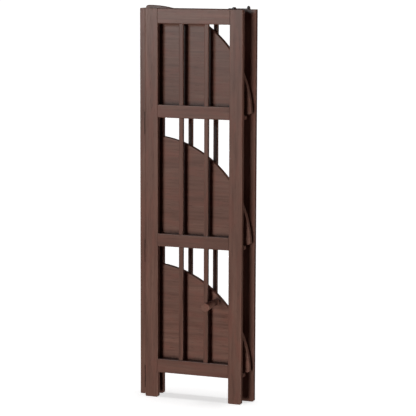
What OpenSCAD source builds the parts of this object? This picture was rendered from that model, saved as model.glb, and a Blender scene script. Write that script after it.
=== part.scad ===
// Folding corner stand with three quarter-round shelves, shown folded flat.
// The front panel swings out on the corner post, then the shelves drop to level.
// Layout frame: X runs right from the front panel's left edge, Y runs back from its front
// face and Z runs up from the floor. The finished model is centred on its footprint.

/* [Panels] */
// Height of both slatted panels and of the corner post
stand_h = 1067; // [980:1:1200]
// Thickness of the stiles and rails
timber_t = 16; // [14:0.5:20]
// Width of the front panel, which swings
front_w = 280; // [265:1:310]
// Distance that the back panel reaches past the front panel's right edge
back_over = 20.5; // [17:0.5:35]
// Width of each stile
stile_w = 37; // [30:1:42]
// Extra width of the back panel's left stile, which meets the post
back_stile_more = 6.8; // [0:0.1:12]
// Height of the top rail
top_rail_h = 40; // [30:1:50]
// Height of the two middle rails
mid_rail_h = 35; // [32:1:45]
// Height of the bottom rail
base_rail_h = 38; // [32:1:50]
// Height of the bottom rail's lower edge above the floor
base_gap = 70; // [55:1:85]
// Radius of the eased long edges
ease_r = 2; // [1:0.5:3]
// Bevel around the foot of each stile
foot_bevel = 2.5; // [1:0.5:6]

/* [Joinery] */
// Length of the tenons on the rails
tenon_l = 18; // [10:1:24]
// Thickness of the tenons on the rails
tenon_t = 7; // [5:0.5:8]
// Shoulder above and below each tenon
tenon_shoulder = 6; // [4:0.5:8]
// Clearance around a tenon, slat end or dowel in its seat
seat_fit = 0.15; // [0.1:0.05:0.3]

/* [Slats] */
// Width of a slat
slat_w = 12.5; // [9:0.5:15]
// Thickness of a slat
slat_t = 10; // [8:0.5:12]
// Radius of a slat's rounded edges
slat_ease_r = 2.5; // [0.5:0.1:3.5]
// Clearance between the shelf leg and the front panel's slat beside it
leg_gap = 3.8; // [1:0.1:8]
// Depth that a slat's end goes into its rail
slat_in = 8; // [5:0.5:10]

/* [Corner post] */
// Thickness of the post, across the stand
post_w = 16; // [14:0.5:22]
// Distance from the front panel's left edge to the post's inner face
post_inset = 9.3; // [8:0.1:12]
// Distance that the post stands proud of the folded shelves
post_proud = 1.7; // [1:0.1:3]

/* [Shelves] */
// Distance that a folded shelf reaches past the front panel's right edge
shelf_over = 15.8; // [10:0.1:17]
// Distance that the folded top shelf stands above the panels
top_over = 8.3; // [2:0.1:20]
// Width sawn off the quarter circle along its back edge
shelf_trim = 9; // [4:0.5:14]
// Width of a shelf on the left of its curve's centre
shelf_wide = 8.4; // [4:0.1:10]
// Thickness of a shelf
shelf_t = 16; // [14:0.5:18]
// Radius of the two small corners of a shelf
shelf_corner_r = 6; // [3:0.5:10]
// Radius of the eased rim of a shelf
rim_r = 2.5; // [1.5:0.5:4]
// Clearance between a folded shelf and the post
side_gap = 1.7; // [1:0.1:3]
// Gap between the front panel and the folded shelves
front_gap = 11; // [10:0.5:20]
// Gap between the folded shelves and the back panel
rear_gap = 3; // [2:0.5:5]

/* [Shelf rests] */
// Height of the rest that carries a shelf's left edge
rest_h = 15; // [13.5:0.5:17]
// Distance that a rest stands out from the front panel
rest_d = 24; // [20:0.5:26]
// Clearance between a rest and the shelf hinge on its left
rest_left_gap = 2.2; // [2:0.1:6]
// Clearance between a rest and the shelf hinge on its right
rest_right_gap = 18.8; // [10:0.1:40]
// Gap over a rest when its shelf is folded
rest_gap = 0.3; // [0.2:0.1:0.5]

/* [Shelf leg] */
// Diameter of the leg at the floor
leg_foot_d = 23.5; // [20:0.5:28]
// Diameter of the leg where it meets the shelf
leg_neck_d = 18.5; // [15:0.5:20]
// Distance from the shelf's rim to the leg's centre
leg_inset = 16; // [15:0.5:24]
// Diameter of the dowel on top of the leg
leg_dowel_d = 11; // [8:0.5:12]
// Length of the dowel on top of the leg
leg_dowel_l = 10; // [6:0.5:12]

/* [Hinges] */
// Outer radius of a hinge knuckle
knuckle_r = 3.2; // [2.8:0.1:3.6]
// Radius of a hinge pin
hinge_pin_r = 1.5; // [1.2:0.1:1.6]
// Radial clearance between a pin and its knuckles
pin_fit = 0.05; // [0.02:0.01:0.1]
// Thickness of a hinge leaf
leaf_t = 1.6; // [1.2:0.1:1.8]
// Distance from the pin to the free edge of a shelf hinge's leaf
shelf_leaf_w = 18; // [14:0.5:18.5]
// Distance from the pin to the free edge of a panel hinge's leaf
panel_leaf_w = 18; // [15:0.5:20]
// Length of a shelf hinge
shelf_hinge_l = 38; // [30:1:44]
// Distance from the ends of the shelf's curve to its hinges
shelf_hinge_in = 19; // [12:1:30]
// Clearance between a panel hinge and the shelves above and below it
panel_hinge_gap = 2; // [1:0.5:10]
// Gap between neighbouring knuckles
knuckle_gap = 0.3; // [0.2:0.05:0.5]
// Diameter of a screw hole in a leaf
screw_hole_d = 3.4; // [3:0.1:4]

/* [Latch] */
// Distance from the front panel's right edge to the catch knob
catch_in = 27; // [22:0.5:32]
// Distance from the back panel's right edge to the hook's pivot
pivot_in = 23.5; // [18:0.5:30]
// Thickness of the hook
hook_t = 1.6; // [1.2:0.1:2]
// Width of the hook
hook_w = 10; // [9:0.5:12]
// Radius of both necks that the hook turns on and catches
latch_neck_r = 2; // [1.6:0.1:2.4]
// Clearance between the hook's slot and the catch's stud
hook_slot_fit = 1.2; // [0.8:0.1:1.4]
// Radius of the catch knob's head
catch_head_r = 5.6; // [5:0.1:6.5]
// Radius of the pivot's head
pivot_head_r = 4.8; // [4:0.1:5]
// Height of the pivot's head
pivot_head_h = 7; // [3:0.1:8]
// Depth that both latch studs go into the wood
stud_in = 14; // [8:1:20]

/* [Hidden] */
$fn = 48;

walnut = "#5c4238";
dark_metal = "#1c1a19";
bronze = "#6b5a45";

rail_names = ["bottom", "lower", "upper", "top"];
level_names = ["bottom", "middle", "top"];
cut = 1;

// Depth stack, from the front panel's front face backwards
shelf_y = timber_t + front_gap;
post_y = shelf_y - post_proud;
back_y = shelf_y + shelf_t + rear_gap;
rear_y = back_y + timber_t;

// Across the stand
post_x = -post_inset - post_w;
back_x = -post_inset;
shelf_x = back_x + side_gap + shelf_wide;
right_x = front_w + back_over;
back_w = right_x - back_x;
back_left_w = stile_w + back_stile_more;
shelf_r = front_w + shelf_over - shelf_x;

// The top shelf is placed from the top of the stand, and the others are shared out below it
shelf_rise = rest_h + rest_gap;
top_shelf_rail_z = stand_h + top_over - (shelf_r - shelf_trim) - shelf_rise;
shelf_pitch = (top_shelf_rail_z - base_gap) / 2;

// Heights that repeat at each shelf
function rail_z(i) = i < 3 ? base_gap + i * shelf_pitch : stand_h - top_rail_h;
function rail_h(i) = i == 0 ? base_rail_h : i < 3 ? mid_rail_h : top_rail_h;
function shelf_z(i) = rail_z(i) + shelf_rise;
function shelf_pin_z(i) = shelf_z(i) - knuckle_r;

// Hinge axes
shelf_pin_y = shelf_y - knuckle_r;
panel_pin_x = back_x + knuckle_r;
panel_pin_y = timber_t + knuckle_r;
block_h = shelf_rise - 2 * knuckle_r;
hinge_1_x = shelf_x + shelf_hinge_in;
hinge_2_x = shelf_x + shelf_r - shelf_hinge_in - shelf_hinge_l;
rest_x = hinge_1_x + shelf_hinge_l + rest_left_gap;
rest_l = hinge_2_x - rest_right_gap - rest_x;

// The panel hinges sit where no shelf sweeps past, each just under a shelf's level
panel_hinge_l = shelf_pitch - (shelf_r - shelf_trim) - 2 * panel_hinge_gap;
function panel_hinge_z(i) = shelf_z(i) - panel_hinge_gap - panel_hinge_l;

// The leg stands on the shelf's diagonal and reaches the floor when the shelf is down
leg_l = shelf_z(0);
leg_reach = (shelf_r - leg_inset) * sqrt(0.5);

// The slats of both panels are spread so that the leg passes beside the front panel's right one
slat_pitch = 2 * (shelf_x + leg_reach - leg_foot_d / 2 - leg_gap - slat_w / 2 - front_w / 2);

// The hook reaches from its pivot on the back panel to the catch on the front panel
pivot_x = right_x - pivot_in;
pivot_y = back_y + timber_t / 2;
catch_x = front_w - catch_in;
catch_y = timber_t / 2;
hook_l = sqrt(pow(pivot_x - catch_x, 2) + pow(pivot_y - catch_y, 2));
hook_gap = 0.3;
hook_slot_r = latch_neck_r + hook_slot_fit;
hook_z = stand_h + hook_gap;
head_z = hook_z + hook_t + hook_gap;

// Centre of the footprint
mid_x = (post_x + right_x) / 2;
mid_y = (shelf_y - leg_l + rear_y) / 2;

module placed() {
    translate([-mid_x, -mid_y, 0]) children();
}

// Rectangle from the origin with rounded corners
module eased_rect(w, h, r) {
    translate([r, 0]) square([w - 2 * r, h]);
    translate([0, r]) square([w, h - 2 * r]);
    for (x = [r, w - r], y = [r, h - r]) translate([x, y]) circle(r, $fn = 32);
}

// Upright with eased long edges and a bevelled foot
module upright(w, d) {
    intersection() {
        linear_extrude(stand_h) eased_rect(w, d, ease_r);
        translate([0, d, 0]) rotate([90, 0, 0]) linear_extrude(d)
            polygon([[foot_bevel, 0], [w - foot_bevel, 0], [w, foot_bevel],
                     [w, stand_h], [0, stand_h], [0, foot_bevel]]);
    }
}

// ---- Slatted panels: the same joinery at two widths, both from their own left edge ----

module tenon_seat(i, l) {
    translate([0, (timber_t - tenon_t) / 2 - seat_fit, rail_z(i) + tenon_shoulder - seat_fit])
        cube([l, tenon_t + 2 * seat_fit, rail_h(i) - 2 * tenon_shoulder + 2 * seat_fit]);
}

// Left stile; a right one is its mirror image
module panel_stile(stile) {
    difference() {
        upright(stile, timber_t);
        for (i = [0:3])
            translate([stile - tenon_l - seat_fit, 0, 0]) tenon_seat(i, tenon_l + seat_fit + cut);
    }
}

module panel_stile_pair(w, left_w, side) {
    if (side == "left") panel_stile(left_w);
    if (side == "right") translate([w, 0, 0]) mirror([1, 0, 0]) panel_stile(stile_w);
}

function slat_x(w, left_w, k) = (left_w + w - stile_w) / 2 + (k - 0.5) * slat_pitch - slat_w / 2;
slat_y = (timber_t - slat_t) / 2;

module panel_rail(w, left_w, i) {
    open_w = w - left_w - stile_w;
    difference() {
        union() {
            translate([left_w, 0, rail_z(i)]) rotate([90, 0, 90])
                linear_extrude(open_w) eased_rect(timber_t, rail_h(i), ease_r);
            translate([left_w - tenon_l, (timber_t - tenon_t) / 2, rail_z(i) + tenon_shoulder])
                cube([open_w + 2 * tenon_l, tenon_t, rail_h(i) - 2 * tenon_shoulder]);
        }
        for (k = [0:1]) translate([slat_x(w, left_w, k), 0, 0]) {
            if (i > 0) translate([0, 0, rail_z(i) - cut]) slat_seat();
            if (i < 3) translate([0, 0, rail_z(i) + rail_h(i) - slat_in - seat_fit]) slat_seat();
        }
    }
}

module slat_seat() {
    translate([-seat_fit, slat_y - seat_fit, 0])
        cube([slat_w + 2 * seat_fit, slat_t + 2 * seat_fit, slat_in + seat_fit + cut]);
}

module panel_slat(w, left_w, bay, k) {
    low = rail_z(bay) + rail_h(bay) - slat_in;
    high = rail_z(bay + 1) + slat_in;
    translate([slat_x(w, left_w, k), slat_y, low])
        linear_extrude(high - low) eased_rect(slat_w, slat_t, slat_ease_r);
}

module front_stile(side) {
    color(walnut) placed() difference() {
        panel_stile_pair(front_w, stile_w, side);
        if (side == "right") latch_stud_seat(catch_x, catch_y);
    }
}

module front_rail(i) {
    color(walnut) placed() difference() {
        panel_rail(front_w, stile_w, i);
        if (i == 3) latch_stud_seat(catch_x, catch_y);
    }
}

module front_slat(n) {
    color(walnut) placed() panel_slat(front_w, stile_w, floor((n - 1) / 2), (n - 1) % 2);
}

module back_stile(side) {
    color(walnut) placed() difference() {
        translate([back_x, back_y, 0]) panel_stile_pair(back_w, back_left_w, side);
        if (side == "right") latch_stud_seat(pivot_x, pivot_y);
    }
}

module back_rail(i) {
    color(walnut) placed() difference() {
        translate([back_x, back_y, 0]) panel_rail(back_w, back_left_w, i);
        if (i == 3) latch_stud_seat(pivot_x, pivot_y);
    }
}

module back_slat(n) {
    color(walnut) placed() translate([back_x, back_y, 0])
        panel_slat(back_w, back_left_w, floor((n - 1) / 2), (n - 1) % 2);
}

// The post holds the front panel clear of the folded shelves
module corner_post() {
    color(walnut) placed() translate([post_x, post_y, 0]) upright(post_w, rear_y - post_y);
}

// ---- Shelves, folded up against the back panel ----

// Quarter circle about the origin, trimmed along its back edge and widened along its left
// edge, with two corners rounded
module shelf_outline() {
    top_x = shelf_corner_r - shelf_wide;
    top_y = sqrt(pow(shelf_r - shelf_corner_r, 2) - pow(top_x, 2));
    side_y = shelf_trim + shelf_corner_r;
    side_x = sqrt(pow(shelf_r - shelf_corner_r, 2) - pow(side_y, 2));
    difference() {
        intersection() {
            circle(shelf_r, $fn = 180);
            translate([-shelf_wide, shelf_trim]) square(shelf_wide + shelf_r);
        }
        difference() {
            translate([-shelf_wide - cut, top_y]) square([shelf_corner_r + cut, shelf_r]);
            translate([top_x, top_y]) circle(shelf_corner_r);
        }
        difference() {
            translate([side_x, shelf_trim - cut]) square([shelf_r, shelf_corner_r + cut]);
            translate([side_x, side_y]) circle(shelf_corner_r);
        }
    }
}

// Disc with an eased rim
module rim_disc() {
    rotate_extrude($fn = 180) {
        square([shelf_r - rim_r, shelf_t]);
        translate([0, rim_r]) square([shelf_r, shelf_t - 2 * rim_r]);
        for (y = [rim_r, shelf_t - rim_r]) translate([shelf_r - rim_r, y]) circle(rim_r, $fn = 32);
    }
}

module shelf(level) {
    color(walnut) placed() translate([shelf_x, shelf_y + shelf_t, shelf_z(level) - shelf_trim])
        rotate([90, 0, 0]) difference() {
            intersection() {
                rim_disc();
                linear_extrude(shelf_t) shelf_outline();
            }
            if (level == 0) translate([leg_reach, leg_reach, shelf_t - leg_dowel_l - seat_fit])
                cylinder(r = leg_dowel_d / 2 + seat_fit / 3, h = leg_dowel_l + seat_fit + cut);
        }
}

// Turned leg under the front of the bottom shelf; it slims from the floor to the shelf
module shelf_leg() {
    foot_r = leg_foot_d / 2;
    neck_r = leg_neck_d / 2;
    toe = 2;
    color(walnut) placed()
        translate([shelf_x + leg_reach, shelf_y, shelf_z(0) - shelf_trim + leg_reach])
            rotate([90, 0, 0]) {
                translate([0, 0, -leg_dowel_l]) cylinder(r = leg_dowel_d / 2, h = leg_dowel_l + cut);
                rotate_extrude() polygon([
                    [0, 0], [neck_r, 0], [neck_r, leg_l * 0.12], [neck_r * 1.04, leg_l * 0.3],
                    [foot_r * 0.86, leg_l * 0.62], [foot_r * 0.97, leg_l * 0.84],
                    [foot_r, leg_l - 2 * toe], [foot_r, leg_l - toe], [foot_r - toe, leg_l], [0, leg_l]
                ]);
            }
}

// Rest on the front panel's back: it comes under a shelf's left edge once the panel is open
module shelf_rest(level) {
    color(walnut) placed() translate([rest_x, timber_t, rail_z(level)])
        rotate([90, 0, 90]) linear_extrude(rest_l)
            polygon([[0, 0], [rest_d - rest_h / 2, 0], [rest_d, rest_h / 2],
                     [rest_d, rest_h], [0, rest_h]]);
}

// Two blocks on a back rail, one under each shelf hinge
module hinge_blocks(level) {
    color(walnut) placed() for (x = [hinge_1_x, hinge_2_x])
        translate([x, shelf_y, rail_z(level)]) cube([shelf_hinge_l, back_y - shelf_y, block_h]);
}

// ---- Butt hinges: pin along Z at the origin, leaf towards +X with its seat at y = knuckle_r ----

knuckles = 5;
function knuckle_l(l) = (l - (knuckles - 1) * knuckle_gap) / knuckles;
function knuckle_z(l, n) = n * (knuckle_l(l) + knuckle_gap);

module hinge_leaf(l, w, first) {
    difference() {
        union() {
            for (n = [first:2:knuckles - 1])
                translate([0, 0, knuckle_z(l, n)]) cylinder(r = knuckle_r, h = knuckle_l(l));
            translate([0, knuckle_r - leaf_t, 0]) cube([w, leaf_t, l]);
        }
        for (n = [first:2:knuckles - 1])
            translate([0, 0, knuckle_z(l, n) - cut])
                cylinder(r = hinge_pin_r + pin_fit, h = knuckle_l(l) + 2 * cut);
        for (n = [1 - first:2:knuckles - 1])
            translate([-knuckle_r, knuckle_r - leaf_t - cut, knuckle_z(l, n) - knuckle_gap])
                cube([2 * knuckle_r + 2 * knuckle_gap, leaf_t + 2 * cut,
                      knuckle_l(l) + 2 * knuckle_gap]);
        for (z = [l / 5, l * 4 / 5])
            translate([w - screw_hole_d * 1.5, knuckle_r + cut, z]) rotate([90, 0, 0])
                cylinder(d = screw_hole_d, h = leaf_t + 2 * cut);
    }
}

module hinge_pin(l) {
    head = 0.8;
    cylinder(r = hinge_pin_r, h = l);
    translate([0, 0, l + knuckle_gap]) cylinder(r1 = hinge_pin_r + head, r2 = hinge_pin_r, h = head);
    translate([0, 0, -knuckle_gap - head]) cylinder(r1 = hinge_pin_r, r2 = hinge_pin_r + head, h = head);
    translate([0, 0, -knuckle_gap - head]) cylinder(r = hinge_pin_r, h = l + 2 * knuckle_gap + 2 * head);
}

// Puts the two hinges of a shelf on its pin line, with the pin along X
module on_shelf_hinges(level) {
    placed() for (x = [hinge_1_x, hinge_2_x])
        translate([x, shelf_pin_y, shelf_pin_z(level)]) rotate([0, 90, 0]) rotate([0, 0, 90]) children();
}

module fixed_leaves(level) {
    color(bronze) on_shelf_hinges(level) mirror([0, 1, 0])
        hinge_leaf(shelf_hinge_l, shelf_leaf_w, 0);
}

module shelf_leaves(level) {
    color(bronze) on_shelf_hinges(level) hinge_leaf(shelf_hinge_l, shelf_leaf_w, 1);
}

module shelf_pins(level) {
    color(bronze) on_shelf_hinges(level) hinge_pin(shelf_hinge_l);
}

module on_panel_hinge(n) {
    placed() translate([panel_pin_x, panel_pin_y, panel_hinge_z(n - 1)]) children();
}

module post_leaf(n) {
    color(bronze) on_panel_hinge(n) rotate([0, 0, 90]) hinge_leaf(panel_hinge_l, panel_leaf_w, 0);
}

module swing_leaf(n) {
    color(bronze) on_panel_hinge(n) mirror([0, 1, 0]) hinge_leaf(panel_hinge_l, panel_leaf_w, 1);
}

module panel_pin(n) {
    color(bronze) on_panel_hinge(n) hinge_pin(panel_hinge_l);
}

// ---- Latch on top: a flat hook that turns on the back panel and catches the front panel ----

module latch_stud_seat(x, y) {
    translate([x, y, stand_h - stud_in - seat_fit])
        cylinder(r = latch_neck_r + seat_fit / 3, h = stud_in + seat_fit + cut);
}

module latch_stud() {
    translate([0, 0, stand_h - stud_in]) cylinder(r = latch_neck_r, h = head_z - stand_h + stud_in);
}

// Domed head, cut off flat on top
module latch_head(head_r, head_h) {
    translate([0, 0, head_z]) rotate_extrude() intersection() {
        scale([head_r, max(head_r, head_h)]) circle(1, $fn = 64);
        square([head_r, head_h]);
    }
}

module latch_catch_stud() {
    color(dark_metal) placed() translate([catch_x, catch_y, 0]) latch_stud();
}

module latch_catch_knob() {
    color(dark_metal) placed() translate([catch_x, catch_y, 0])
        latch_head(catch_head_r, catch_head_r * 0.8);
}

module latch_pivot() {
    color(dark_metal) placed() translate([pivot_x, pivot_y, 0]) {
        latch_stud();
        latch_head(pivot_head_r, pivot_head_h);
    }
}

// The hook lies along the back panel, turned away from the catch
module latch_hook() {
    color(dark_metal) placed() translate([pivot_x, pivot_y, hook_z]) rotate([0, 0, 180])
        linear_extrude(hook_t) difference() {
            union() {
                circle(hook_w / 2);
                translate([0, -hook_w / 2]) square([hook_l, hook_w]);
                translate([hook_l, 0]) circle(hook_w / 2);
            }
            circle(latch_neck_r + pin_fit);
            translate([hook_l, 0]) circle(hook_slot_r);
            translate([hook_l - hook_slot_r, 0]) square([2 * hook_slot_r, hook_w]);
        }
}

for (i = [0:3]) {
    front_rail(i);
    back_rail(i);
}
for (n = [1:6]) {
    front_slat(n);
    back_slat(n);
}
for (side = ["left", "right"]) {
    front_stile(side);
    back_stile(side);
}
for (i = [0:2]) {
    shelf(i);
    shelf_rest(i);
    hinge_blocks(i);
    fixed_leaves(i);
    shelf_leaves(i);
    shelf_pins(i);
}
for (n = [1:3]) {
    post_leaf(n);
    swing_leaf(n);
    panel_pin(n);
}
corner_post();
shelf_leg();
latch_hook();
latch_pivot();
latch_catch_stud();
latch_catch_knob();
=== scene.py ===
"""Folding corner stand: stained wood, hinges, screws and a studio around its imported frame."""

import math

import bmesh
import bpy
from bpy.props import FloatProperty, FloatVectorProperty, PointerProperty
from bpy.types import Operator, Panel, PropertyGroup
from mathutils import Matrix, Vector


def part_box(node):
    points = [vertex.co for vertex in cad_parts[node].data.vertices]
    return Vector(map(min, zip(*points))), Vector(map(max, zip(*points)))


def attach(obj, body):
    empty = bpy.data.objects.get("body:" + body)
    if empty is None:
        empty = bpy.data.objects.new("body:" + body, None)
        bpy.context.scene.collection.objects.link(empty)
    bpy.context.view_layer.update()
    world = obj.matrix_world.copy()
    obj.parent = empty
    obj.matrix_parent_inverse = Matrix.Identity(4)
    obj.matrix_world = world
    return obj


bl_info = {
    "name": "Folding Corner Stand",
    "version": (1, 0, 0),
    "blender": (4, 5, 0),
    "location": "3D View > Sidebar > Corner Stand",
    "description": "Finishes the folding corner stand and sets it in a plain studio",
    "category": "Object",
}

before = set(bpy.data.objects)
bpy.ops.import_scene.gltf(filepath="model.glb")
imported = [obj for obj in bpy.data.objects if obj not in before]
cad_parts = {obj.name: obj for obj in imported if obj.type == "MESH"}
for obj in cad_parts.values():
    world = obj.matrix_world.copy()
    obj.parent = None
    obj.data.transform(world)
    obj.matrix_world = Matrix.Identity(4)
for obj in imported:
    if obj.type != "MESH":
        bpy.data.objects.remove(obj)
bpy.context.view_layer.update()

MM = 0.001
LEVELS = ("bottom", "middle", "top")
RAILS = ("bottom", "lower", "upper", "top")
SLATS = range(1, 7)
PANEL_HINGES = (1, 2, 3)

# Each board's seed, which moves the figure of its wood, and its tone, as a share of the tones in
# the settings: a smaller share is a darker board. Some shares paint light and shade into the wood:
# the back panel's are painted shade and the front left stile's is a painted sheen.
PANEL_BOARDS = {
    # The front left stile's larger share is a painted sheen
    "front": {"stile_left": (3, 1.04), "stile_right": (5, 0.95), "slats": (5, 0.86), "rails": (6, 0.96)},
    # The back panel's smaller shares are painted shade, for the front panel's shadow on it
    "back": {"stile_left": (10, 0.85), "stile_right": (12, 0.82), "slats": (12, 0.85), "rails": (13, 0.88)},
}
POST_BOARD = (29, 0.96)
SHELF_BOARDS = {"bottom": (31, 1.02), "middle": (35, 1.0), "top": (39, 0.82)}
REST_BOARD = (47, 1.0)
LEG_BOARD = (53, 1.2)

# How far one seed moves the wood's figure, in metres
SEED_STEP = (1.37, 2.11, 0.73)

# Hinge leaves and the places of their screws: in from the free edge, and as shares of the length
LEAF_THICKNESS = 1.6 * MM
SHELF_LEAF_LENGTH = 38 * MM
SCREW_EDGE = 5.1 * MM
SCREW_ENDS = (0.2, 0.8)

# Far lights have an azimuth, an elevation and a spread in degrees. Azimuth is 0 in front of the
# stand and grows to the right. These add no gloss, and take a share of the strength in a setting.
MATT_LIGHTS = {
    "low_key_light": (-15.0, -13.0, 17.0, "key_strength", 0.5),
    "high_key_light": (-15.0, 2.0, 17.0, "key_strength", 0.5),
    "side_light": (92.0, -30.0, 12.0, "side_strength", 1.0),
    "back_light": (205.0, -6.0, 25.0, "back_strength", 1.0),
    "top_light": (190.0, 68.0, 25.0, "top_strength", 1.0),
}

# Lights that only gloss reflects: a far one, and two square panels with the place, the target and
# the side of each in metres
EDGE_LIGHT = (80.0, -10.0, 20.0)
SHEEN_LIGHTS = {
    "sheen_light": ((-0.78, -1.6, 1.5), (0.0, 0.0, 0.8), 0.35),
    "back_sheen_light": ((-1.0, 1.9, 0.3), (0.0, 0.0, 0.5), 0.5),
}

# The far light that reaches only the floor
OVERHEAD_LIGHT = (0.0, 90.0, 18.0)

# The round floor and the glowing dome that stands on it, in metres
FLOOR_RADIUS = 60.0
DOME_RADIUS = 59.0
DOME_GLOW = 1.05

# The photograph's frame, and the viewpoint that was fitted to it. Reach is the nearest and the
# farthest point that the camera shows.
PHOTO_PIXELS = 416
SENSOR_MM = 36.0
FOCAL_PIXELS = 1846.8
CAMERA_PLACE = (1.8057, -4.6004, 1.2331)
CAMERA_YAW = math.radians(20.938)
CAMERA_PITCH = math.radians(8.071)
CAMERA_ROLL = math.radians(0.197)
CAMERA_REACH = (0.05, 200.0)


# ---------------------------------------------------------------- shaders

class Value:
    """A node's output that arithmetic can be written on. Each operator adds one Math node."""

    def __init__(self, shader, socket):
        self.shader = shader
        self.socket = socket

    def _math(self, operation, other):
        return self.shader.node("ShaderNodeMath", {"operation": operation}, {0: self, 1: other})

    def __add__(self, other):
        return self._math("ADD", other)

    __radd__ = __add__

    def __sub__(self, other):
        return self._math("SUBTRACT", other)

    def __mul__(self, other):
        return self._math("MULTIPLY", other)


class Shader:
    """One material, written as expressions."""

    def __init__(self, name):
        self.material = bpy.data.materials.new(name)
        self.material.use_nodes = True
        self.tree = self.material.node_tree
        self.tree.nodes.clear()

    def node(self, kind, settings=None, inputs=None, output=0):
        """Adds a node, with its settings first and then the values or links of its sockets."""
        made = self.tree.nodes.new(kind)
        for key, value in (settings or {}).items():
            setattr(made, key, value)
        for key, value in (inputs or {}).items():
            if isinstance(value, Value):
                self.tree.links.new(value.socket, made.inputs[key])
            else:
                made.inputs[key].default_value = value
        return Value(self, made.outputs[output]) if made.outputs else None

    def place(self):
        """Gives the point on the surface, in the stand's own metres."""
        return self.node("ShaderNodeTexCoord", output="Object")

    def noise(self, place, scale, detail=2.0, roughness=0.5, distortion=0.0):
        """Makes soft clouds, with about the given number of them to a metre."""
        return self.node("ShaderNodeTexNoise", inputs={
            "Vector": place, "Scale": scale, "Detail": detail,
            "Roughness": roughness, "Distortion": distortion})

    def remap(self, value, low, high):
        """Takes a value from its range to 0 to 1, and stops it at the ends."""
        return self.node("ShaderNodeMapRange", {"clamp": True}, {0: value, 1: low, 2: high})

    def mix(self, factor, first, second):
        """Blends two colours."""
        return self.node("ShaderNodeMix", {"data_type": "RGBA"},
                         {0: factor, 6: first, 7: second}, output=2)

    def bump(self, height, distance, strength):
        """Tilts the surface as a height does, over a depth in metres."""
        return self.node("ShaderNodeBump", inputs={
            "Height": height, "Distance": distance, "Strength": strength})

    def finish(self, **sockets):
        """Sets the surface's sockets and returns the material."""
        inputs = {key.replace("_", " "): value for key, value in sockets.items()}
        surface = self.node("ShaderNodeBsdfPrincipled", inputs=inputs)
        self.node("ShaderNodeOutputMaterial", inputs={"Surface": surface})
        return self.material


def rgba(colour, share=1.0):
    """Gives an opaque colour, made lighter or darker by a share."""
    return (colour[0] * share, colour[1] * share, colour[2] * share, 1.0)


def stained_wood(name, grain, board, settings):
    """Dark stained walnut with the grain along one axis."""
    seed, share = board
    shader = Shader(name)
    place = shader.place()

    def along_grain(stretch, scale, **shape):
        """Makes noise drawn out along the grain. A stretch of 0.05 makes it 20 times as long."""
        run = [1.0, 1.0, 1.0]
        run["XYZ".index(grain)] = stretch
        moved = shader.node("ShaderNodeMapping", inputs={
            "Vector": place, "Location": tuple(seed * step for step in SEED_STEP), "Scale": run})
        return shader.noise(moved, scale, **shape)

    # Growth figure: wide wandering bands, and narrower streaks
    wander = along_grain(0.35, 9.0)
    figure = along_grain(0.07, 48.0, roughness=0.55, distortion=0.35)
    bands = shader.remap(figure * 0.75 + wander * 0.25, 0.36, 0.64)
    streaks = shader.remap(along_grain(0.05, 185.0, distortion=0.2), 0.32, 0.68)

    # Fine fibres, and the open pores between them
    fibres = along_grain(0.02, 620.0, detail=3.0, roughness=0.6)
    pores = shader.remap(along_grain(0.045, 980.0, detail=1.0), 0.64, 0.72)

    # Redder streaks, and patches that took more stain
    red = shader.remap(along_grain(0.22, 62.0, distortion=0.4), 0.46, 0.66)
    patches = shader.remap(along_grain(0.6, 8.5, detail=3.0), 0.34, 0.66)

    lightness = bands * 0.42 + streaks * 0.38 + fibres * 0.2
    # The board's share scales every tone: on the back panel it is painted shade, on the front left stile a
    # painted sheen
    colour = shader.mix(lightness, rgba(settings.dark_tone, share), rgba(settings.light_tone, share))
    colour = shader.mix(red * 0.55, colour, rgba(settings.red_tone, share))
    colour = shader.mix(patches * 0.42, colour, rgba(settings.dull_tone, share))
    colour = shader.mix(pores * 0.45, colour, rgba(settings.dark_tone, 0.4))

    rubbing = shader.noise(place, 38.0, detail=4.0, roughness=0.6)
    roughness = settings.roughness - 0.05 + rubbing * 0.08 + fibres * 0.04 + pores * 0.12
    normal = shader.bump(fibres * 0.35 - pores * 0.65, 0.18 * MM, 0.55)
    return shader.finish(Base_Color=colour, Roughness=roughness, Normal=normal, IOR=1.4)


def bronzed_metal(name, settings):
    """Dark bronze on pressed steel, rubbed a little brighter in places."""
    shader = Shader(name)
    place = shader.place()
    clouds = shader.noise(place, 90.0, detail=4.0, roughness=0.6)
    grit = shader.noise(place, 1600.0)
    rubbed = shader.remap(clouds, 0.52, 0.74)
    colour = shader.mix(rubbed * 0.5, rgba(settings.hinge_tone), rgba(settings.hinge_tone, 2.2))
    return shader.finish(Base_Color=colour, Metallic=0.85, Roughness=0.36 + clouds * 0.2,
                         Normal=shader.bump(grit, 0.05 * MM, 0.35))


def black_metal(name, settings):
    """Black enamel with a faint orange-peel surface."""
    shader = Shader(name)
    place = shader.place()
    peel = shader.noise(place, 700.0)
    dust = shader.remap(shader.noise(place, 120.0, detail=4.0), 0.5, 0.8)
    colour = shader.mix(dust * 0.25, rgba(settings.latch_tone), rgba(settings.latch_tone, 2.5))
    return shader.finish(Base_Color=colour, Roughness=0.3 + dust * 0.12,
                         Normal=shader.bump(peel, 0.06 * MM, 0.3), Coat_Weight=0.4, Coat_Roughness=0.15)


def screw_metal(name, settings):
    """Turned steel screws, bronzed to match the hinges."""
    shader = Shader(name)
    scratches = shader.noise(shader.place(), 900.0, detail=3.0, roughness=0.7)
    colour = shader.mix(scratches * 0.6, rgba(settings.hinge_tone, 1.3), rgba(settings.hinge_tone, 3.0))
    return shader.finish(Base_Color=colour, Metallic=1.0, Roughness=0.28 + scratches * 0.2,
                         Normal=shader.bump(scratches, 0.03 * MM, 0.4))


def floor_paper(name, settings):
    """White paper that glows, as a lit studio table does."""
    shader = Shader(name)
    cloud = shader.noise(shader.place(), 3.0)
    colour = shader.mix(cloud * 0.3, rgba(settings.floor_tone), rgba(settings.floor_tone, 0.97))
    return shader.finish(Base_Color=colour, Roughness=0.75, Emission_Color=rgba(settings.floor_tone),
                         Emission_Strength=settings.floor_glow)


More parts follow.
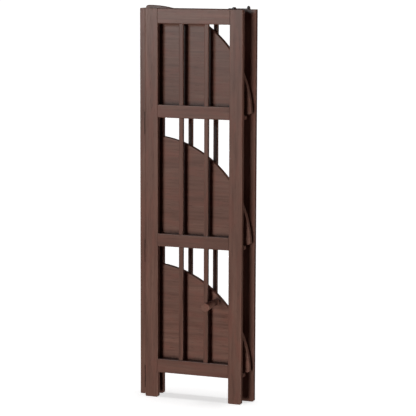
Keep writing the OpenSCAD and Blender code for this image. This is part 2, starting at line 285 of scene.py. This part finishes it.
def dome_white(name):
    """Plain white that takes no light and shows as the photograph's empty background."""
    return Shader(name).finish(Base_Color=rgba((0.0, 0.0, 0.0)), Roughness=1.0,
                               Emission_Color=rgba((1.0, 1.0, 1.0)), Emission_Strength=DOME_GLOW)


# ---------------------------------------------------------------- settings

class WoodSettings(PropertyGroup):
    light_tone: FloatVectorProperty(
        name="Light tone", description="Colour of the lighter grain", subtype="COLOR",
        size=3, min=0.0, max=1.0, default=(0.162, 0.088, 0.066))
    dark_tone: FloatVectorProperty(
        name="Dark tone", description="Colour of the darker grain", subtype="COLOR",
        size=3, min=0.0, max=1.0, default=(0.072, 0.033, 0.024))
    red_tone: FloatVectorProperty(
        name="Red tone", description="Colour of the redder streaks", subtype="COLOR",
        size=3, min=0.0, max=1.0, default=(0.148, 0.060, 0.044))
    dull_tone: FloatVectorProperty(
        name="Dull tone", description="Colour of the patches that took more stain", subtype="COLOR",
        size=3, min=0.0, max=1.0, default=(0.088, 0.047, 0.037))
    roughness: FloatProperty(
        name="Roughness", description="Roughness of the satin finish", subtype="FACTOR",
        min=0.0, max=1.0, default=0.46)


class MetalSettings(PropertyGroup):
    hinge_tone: FloatVectorProperty(
        name="Hinge tone", description="Colour of the bronzed hinges", subtype="COLOR",
        size=3, min=0.0, max=1.0, default=(0.060, 0.042, 0.034))
    latch_tone: FloatVectorProperty(
        name="Latch tone", description="Colour of the black latch", subtype="COLOR",
        size=3, min=0.0, max=1.0, default=(0.012, 0.012, 0.013))
    screw_diameter: FloatProperty(
        name="Screw head", description="Diameter of the hinge screws' heads", subtype="DISTANCE",
        unit="LENGTH", min=0.004, max=0.007, default=0.0056)
    screw_height: FloatProperty(
        name="Screw height", description="How far a screw's head stands proud of its leaf",
        subtype="DISTANCE", unit="LENGTH", min=0.0004, max=0.0012, default=0.0008)


class StudioSettings(PropertyGroup):
    floor_tone: FloatVectorProperty(
        name="Floor", description="Colour of the floor", subtype="COLOR",
        size=3, min=0.0, max=1.0, default=(0.844, 0.862, 0.864))
    floor_glow: FloatProperty(
        name="Floor glow", description="Light that the floor gives off, as a lit studio table does",
        min=0.0, max=2.0, default=0.80)
    floor_light: FloatProperty(
        name="Floor light", description="Strength of the overhead light, which reaches only the floor",
        min=0.0, max=10.0, default=1.4)
    sky_tone: FloatVectorProperty(
        name="Surround tone", description="Colour of the even light from all round", subtype="COLOR",
        size=3, min=0.0, max=1.0, default=(1.0, 0.36, 0.3))
    sky_strength: FloatProperty(
        name="Surround", description="Strength of the even light from all round",
        min=0.0, max=5.0, default=0.05)
    key_strength: FloatProperty(
        name="Key", description="Strength of the two low lights from the left front together",
        min=0.0, max=10.0, default=3.3)
    side_strength: FloatProperty(
        name="Side", description="Strength of the light from the right",
        min=0.0, max=10.0, default=1.6)
    back_strength: FloatProperty(
        name="Back", description="Strength of the low light from behind",
        min=0.0, max=10.0, default=2.6)
    top_strength: FloatProperty(
        name="Top", description="Strength of the light from above",
        min=0.0, max=10.0, default=1.2)
    edge_tone: FloatVectorProperty(
        name="Edge tone", description="Colour of the light that picks out right-hand edges",
        subtype="COLOR", size=3, min=0.0, max=1.0, default=(1.0, 0.62, 0.48))
    edge_strength: FloatProperty(
        name="Edge", description="Strength of the light from the right that only gloss reflects",
        min=0.0, max=20.0, default=3.0)
    sheen_power: FloatProperty(
        name="Sheen", description="Power of each panel of light that only gloss reflects",
        subtype="POWER", min=0.0, max=1000.0, default=32.0)


# ---------------------------------------------------------------- objects

def linked_object(name, data):
    """Makes an object and links it into the scene."""
    made = bpy.data.objects.new(name, data)
    bpy.context.collection.objects.link(made)
    return made


def mesh_object(name, bm, material):
    """Turns a finished bmesh into an object with one material."""
    mesh = bpy.data.meshes.new(name)
    bm.to_mesh(mesh)
    bm.free()
    mesh.materials.append(material)
    return linked_object(name, mesh)


def dress(material, nodes):
    """Gives CAD nodes a material."""
    for node in nodes:
        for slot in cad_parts[node].material_slots:
            slot.link = "OBJECT"
            slot.material = material


def stain_wood(context, name, grain, board, nodes):
    """Gives CAD nodes a stained board of their own."""
    dress(stained_wood(f"wood_{name}", grain, board, context.scene.stand_wood), nodes)


def screw_head(bm, place, facing, settings):
    """Adds a low domed head with a cross recess, facing the way given, and its shank."""
    segments = 24
    radius, height = settings.screw_diameter / 2, settings.screw_height
    shank, shank_depth = radius * 0.55, 1.5 * MM
    arm, half, recess_depth, recess_taper = radius * 0.55, radius * 0.13, height * 1.1, 0.8
    seat = Matrix.Translation(place) @ facing.to_track_quat("Z", "Y").to_matrix().to_4x4()

    def ring(r, z):
        return [bm.verts.new(seat @ Vector((r * math.cos(a), r * math.sin(a), z)))
                for a in (2 * math.pi * k / segments for k in range(segments))]

    def sides_of(loop):
        return list(zip(loop, loop[1:] + loop[:1]))

    def skirt(lower, upper):
        for (start, end), (above_start, above_end) in zip(sides_of(lower), sides_of(upper)):
            bm.faces.new((start, end, above_end, above_start))

    # Rings from the shank's tip, out under the head and up over the dome
    tip = ring(shank * 0.8, -shank_depth)
    bm.faces.new(list(reversed(tip)))
    rings = [tip, ring(shank, -shank_depth * 0.7), ring(shank, 0.0), ring(radius, 0.0),
             ring(radius, height * 0.25), ring(radius * 0.9, height * 0.7),
             ring(radius * 0.72, height)]
    for lower, upper in zip(rings, rings[1:]):
        skirt(lower, upper)

    # Cross recess: one arm's three corners, turned by a quarter three times
    corners = []
    turned = [(arm, -half), (arm, half), (half, half)]
    for quarter in range(4):
        corners += turned
        turned = [(-y, x) for x, y in turned]
    mouth = [bm.verts.new(seat @ Vector((x, y, height))) for x, y in corners]
    floor = [bm.verts.new(seat @ Vector((x * recess_taper, y * recess_taper, height - recess_depth)))
             for x, y in corners]
    rim_edges = [bm.edges.get(side) for side in sides_of(rings[-1])]
    mouth_edges = [bm.edges.new(side) for side in sides_of(mouth)]
    bmesh.ops.triangle_fill(bm, edges=rim_edges + mouth_edges, use_beauty=True)
    skirt(mouth, floor)
    bm.faces.new(floor)


def screws(name, body, places, facing, settings, material):
    """Makes one piece from the screws of like leaves."""
    bm = bmesh.new()
    for place in places:
        screw_head(bm, Vector(place), facing, settings)
    bmesh.ops.recalc_face_normals(bm, faces=bm.faces)
    piece = mesh_object(name, bm, material)
    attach(piece, body)


# ---------------------------------------------------------------- pieces

class STAND_OT_panels(Operator):
    """Finish both slatted panels and the corner post"""
    bl_idname = "stand.panels"
    bl_label = "Panels and Post"

    def execute(self, context):
        for side, boards in PANEL_BOARDS.items():
            for stile in ("stile_left", "stile_right"):
                stain_wood(context, f"{side}_{stile}", "Z", boards[stile], [f"{side}_{stile}"])
            stain_wood(context, f"{side}_slats", "Z", boards["slats"],
                       [f"{side}_slat_{count}" for count in SLATS])
            stain_wood(context, f"{side}_rails", "X", boards["rails"],
                       [f"{side}_rail_{height}" for height in RAILS])
        stain_wood(context, "post", "Z", POST_BOARD, ["corner_post"])
        return {"FINISHED"}


class STAND_OT_shelves(Operator):
    """Finish the shelves, their rests and the hinge blocks"""
    bl_idname = "stand.shelves"
    bl_label = "Shelves"

    def execute(self, context):
        for level, board in SHELF_BOARDS.items():
            stain_wood(context, f"shelf_{level}", "X", board, [f"shelf_{level}"])
        stain_wood(context, "rests", "X", REST_BOARD,
                   [f"{part}_{level}" for part in ("shelf_rest", "hinge_blocks") for level in LEVELS])
        return {"FINISHED"}


class STAND_OT_leg(Operator):
    """Finish the turned leg under the bottom shelf"""
    bl_idname = "stand.leg"
    bl_label = "Leg"

    def execute(self, context):
        stain_wood(context, "leg", "Y", LEG_BOARD, ["shelf_leg"])
        return {"FINISHED"}


class STAND_OT_hinges(Operator):
    """Finish the hinges and put in their screws"""
    bl_idname = "stand.hinges"
    bl_label = "Hinges and Screws"

    def execute(self, context):
        settings = context.scene.stand_metal
        bronze = bronzed_metal("bronze_hinges", settings)
        steel = screw_metal("screw_steel", settings)
        dress(bronze, [f"{level}_hinge_{part}" for level in LEVELS
                       for part in ("fixed_leaves", "shelf_leaves", "pins")])
        dress(bronze, [f"panel_hinge_{count}_{part}" for count in PANEL_HINGES
                       for part in ("post_leaf", "swing_leaf", "pin")])
        for level in LEVELS:
            self.shelf_screws(level, settings, steel)
        for count in PANEL_HINGES:
            self.panel_screws(count, settings, steel)
        return {"FINISHED"}

    def shelf_screws(self, level, settings, steel):
        """Two screws in each leaf of a shelf's two hinges."""
        for part, body, up in (("fixed_leaves", "back_frame", 1), ("shelf_leaves", f"{level}_shelf", -1)):
            low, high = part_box(f"{level}_hinge_{part}")
            face = low.z + LEAF_THICKNESS if up > 0 else high.z - LEAF_THICKNESS
            places = [(start + share * SHELF_LEAF_LENGTH, high.y - SCREW_EDGE, face)
                      for start in (low.x, high.x - SHELF_LEAF_LENGTH) for share in SCREW_ENDS]
            screws(f"{level}_{part}_screws", body, places, Vector((0, 0, up)), settings, steel)

    def panel_screws(self, count, settings, steel):
        """Two screws in each leaf of a panel hinge."""
        low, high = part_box(f"panel_hinge_{count}_post_leaf")
        heights = [low.z + share * (high.z - low.z) for share in SCREW_ENDS]
        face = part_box("corner_post")[1].x + LEAF_THICKNESS
        places = [(face, high.y - SCREW_EDGE, height) for height in heights]
        screws(f"panel_hinge_{count}_post_screws", "back_frame", places,
               Vector((1, 0, 0)), settings, steel)

        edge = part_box(f"panel_hinge_{count}_swing_leaf")[1].x
        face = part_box("front_stile_left")[1].y + LEAF_THICKNESS
        places = [(edge - SCREW_EDGE, face, height) for height in heights]
        screws(f"panel_hinge_{count}_swing_screws", "front_panel", places,
               Vector((0, 1, 0)), settings, steel)


class STAND_OT_latch(Operator):
    """Finish the latch on the top edges"""
    bl_idname = "stand.latch"
    bl_label = "Latch"

    def execute(self, context):
        dress(black_metal("black_latch", context.scene.stand_metal),
              ["latch_hook", "latch_pivot", "latch_catch_stud", "latch_catch_knob"])
        return {"FINISHED"}


# ---------------------------------------------------------------- studio

def distant_light(name, azimuth, elevation, spread, strength):
    """A light far away. Its azimuth, in degrees, is 0 in front of the stand and grows to the right."""
    light = bpy.data.lights.new(name, "SUN")
    light.energy = strength
    light.angle = math.radians(spread)
    around, up = math.radians(azimuth), math.radians(elevation)
    toward = Vector((math.sin(around) * math.cos(up), -math.cos(around) * math.cos(up), math.sin(up)))
    lamp = linked_object(name, light)
    lamp.rotation_euler = toward.to_track_quat("Z", "Y").to_euler()
    return lamp


def panel_light(name, place, target, side, power):
    """A square of soft light that faces the target."""
    light = bpy.data.lights.new(name, "AREA")
    light.size = side
    light.energy = power
    lamp = linked_object(name, light)
    lamp.location = place
    lamp.rotation_euler = (Vector(target) - Vector(place)).to_track_quat("-Z", "Y").to_euler()
    return lamp


class STAND_OT_studio(Operator):
    """Lay the floor and set the lights and the camera"""
    bl_idname = "stand.studio"
    bl_label = "Studio"

    def execute(self, context):
        studio = context.scene.stand_studio
        floor = self.floor(studio)
        self.backdrop()
        self.surround(context.scene, studio)
        self.light_floor(studio, floor, self.matt_lights(studio) + self.gloss_lights(studio))
        self.camera(context.scene)
        return {"FINISHED"}

    def floor(self, studio):
        """A round floor, lit so that its edge is never seen."""
        bm = bmesh.new()
        bmesh.ops.create_circle(bm, cap_ends=True, segments=96, radius=FLOOR_RADIUS)
        floor = mesh_object("floor", bm, floor_paper("floor_paper", studio))
        floor.visible_diffuse = floor.visible_glossy = False
        return floor

    def backdrop(self):
        """A white dome round the floor, which only the camera sees."""
        bm = bmesh.new()
        bmesh.ops.create_uvsphere(bm, u_segments=64, v_segments=32, radius=DOME_RADIUS)
        dome = mesh_object("backdrop", bm, dome_white("backdrop_white"))
        dome.visible_diffuse = dome.visible_glossy = dome.visible_shadow = False

    def surround(self, scene, studio):
        """Even light from all round, and plain colours on screen."""
        scene.world = bpy.data.worlds.new("white_surround")
        scene.world.use_nodes = True
        background = scene.world.node_tree.nodes["Background"]
        background.inputs["Color"].default_value = rgba(studio.sky_tone)
        background.inputs["Strength"].default_value = studio.sky_strength
        scene.view_settings.view_transform = "Standard"

    def matt_lights(self, studio):
        """The lights that shade the wood and leave no shine on it."""
        lamps = [distant_light(name, azimuth, elevation, spread, getattr(studio, setting) * share)
                 for name, (azimuth, elevation, spread, setting, share) in MATT_LIGHTS.items()]
        for lamp in lamps:
            lamp.visible_glossy = False
        return lamps

    def gloss_lights(self, studio):
        """The lights that only put a shine on the wood."""
        edge = distant_light("edge_light", *EDGE_LIGHT, studio.edge_strength)
        edge.data.color = studio.edge_tone
        lamps = [edge] + [panel_light(name, place, target, side, studio.sheen_power)
                          for name, (place, target, side) in SHEEN_LIGHTS.items()]
        for lamp in lamps:
            lamp.visible_diffuse = lamp.visible_camera = False
        return lamps

    def light_floor(self, studio, floor, others):
        """Lights the floor from overhead alone, so that the stand's shadow stays under it."""
        only_floor = bpy.data.collections.new("only_floor")
        only_floor.objects.link(floor)
        overhead = distant_light("floor_light", *OVERHEAD_LIGHT, studio.floor_light)
        overhead.light_linking.receiver_collection = only_floor
        all_but_floor = bpy.data.collections.new("all_but_floor")
        all_but_floor.objects.link(floor)
        all_but_floor.collection_objects[0].light_linking.link_state = "EXCLUDE"
        for lamp in others:
            lamp.light_linking.receiver_collection = all_but_floor
            lamp.light_linking.blocker_collection = all_but_floor

    def camera(self, scene):
        """A camera where the photographer stood."""
        data = bpy.data.cameras.new("camera")
        data.sensor_fit = "HORIZONTAL"
        data.sensor_width = SENSOR_MM
        data.lens = FOCAL_PIXELS * SENSOR_MM / PHOTO_PIXELS
        data.clip_start, data.clip_end = CAMERA_REACH
        scene.camera = linked_object("camera", data)
        scene.camera.matrix_world = (Matrix.Translation(CAMERA_PLACE)
                                     @ Matrix.Rotation(CAMERA_YAW, 4, "Z")
                                     @ Matrix.Rotation(math.pi / 2 - CAMERA_PITCH, 4, "X")
                                     @ Matrix.Rotation(CAMERA_ROLL, 4, "Z"))


# ---------------------------------------------------------------- add-on

class STAND_PT_panel(Panel):
    """The stand's pieces and settings"""
    bl_label = "Corner Stand"
    bl_idname = "STAND_PT_panel"
    bl_space_type = "VIEW_3D"
    bl_region_type = "UI"
    bl_category = "Corner Stand"

    def draw(self, context):
        layout = self.layout
        for group in GROUPS:
            settings = getattr(context.scene, group)
            box = layout.box()
            for key in settings.__annotations__:
                box.prop(settings, key)
        for operator in OPERATORS:
            layout.operator(operator.bl_idname)


OPERATORS = (STAND_OT_panels, STAND_OT_shelves, STAND_OT_leg, STAND_OT_hinges,
             STAND_OT_latch, STAND_OT_studio)
GROUPS = {"stand_wood": WoodSettings, "stand_metal": MetalSettings, "stand_studio": StudioSettings}
CLASSES = (*GROUPS.values(), *OPERATORS, STAND_PT_panel)


def register():
    for cls in CLASSES:
        bpy.utils.register_class(cls)
    for name, cls in GROUPS.items():
        setattr(bpy.types.Scene, name, PointerProperty(type=cls))


def unregister():
    for name in GROUPS:
        delattr(bpy.types.Scene, name)
    for cls in reversed(CLASSES):
        bpy.utils.unregister_class(cls)


def main():
    register()
    bpy.ops.stand.panels()
    bpy.ops.stand.shelves()
    bpy.ops.stand.leg()
    bpy.ops.stand.hinges()
    bpy.ops.stand.latch()
    bpy.ops.stand.studio()


if __name__ == "__main__":
    main()
